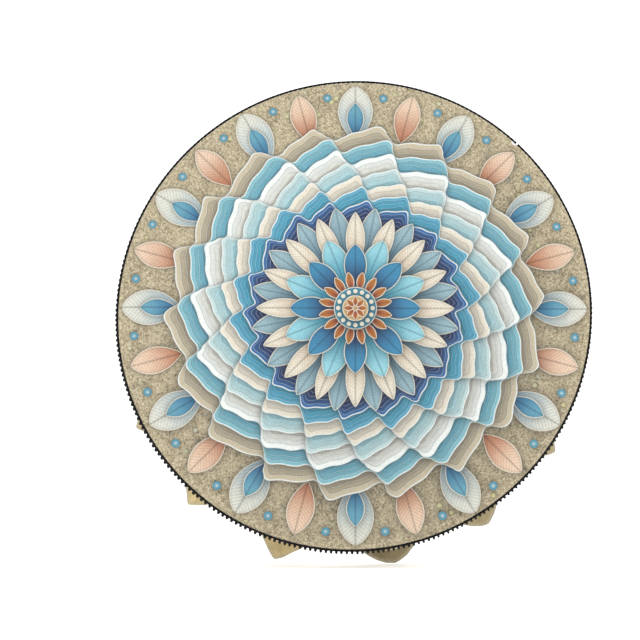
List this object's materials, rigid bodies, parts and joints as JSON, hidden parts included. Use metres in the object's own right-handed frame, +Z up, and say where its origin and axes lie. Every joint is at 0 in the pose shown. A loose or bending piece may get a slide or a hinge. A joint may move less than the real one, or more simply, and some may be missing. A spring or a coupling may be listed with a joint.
{
  "type": "frame drum",
  "caption": "Hand-held frame drum: a hide head over a bentwood hoop, laced at the back to a steel grip ring, with a printed face and a looped black trim.",
  "frame": {"origin": "centre of the grip ring behind the drum", "axes": "+Y along the drum's axis, from the playing face toward the laced back; +Z up as the drum is held; +X to the right of someone who faces the playing face"},
  "size_m": [0.2736, 0.051, 0.2736],
  "materials": {
    "hoop": "bare bent hardwood, lightly sanded",
    "lap_tack": "small domed tacks",
    "drumhead": "dried rawhide, whitish on the wall and tan at its cut points",
    "face_sheet": "printed satin sheet in sea blues, cream and sand",
    "trim_cord": "black glued cord",
    "trim_loops": "black looped edging",
    "lacing": "rawhide lace",
    "lacing_knot": "rawhide lace, tied",
    "grip_ring": "plain steel wire ring"
  },
  "bodies": {
    "root": {"hoop": "hoop", "lap_tack_1": "lap_tack", "lap_tack_2": "lap_tack", "lap_tack_3": "lap_tack", "lap_tack_4": "lap_tack", "drumhead": "drumhead", "face_sheet": "face_sheet", "trim_cord": "trim_cord", "trim_loops": "trim_loops", "lacing": "lacing", "lacing_knot": "lacing_knot", "grip_ring": "grip_ring"}
  },
  "joints": []
}
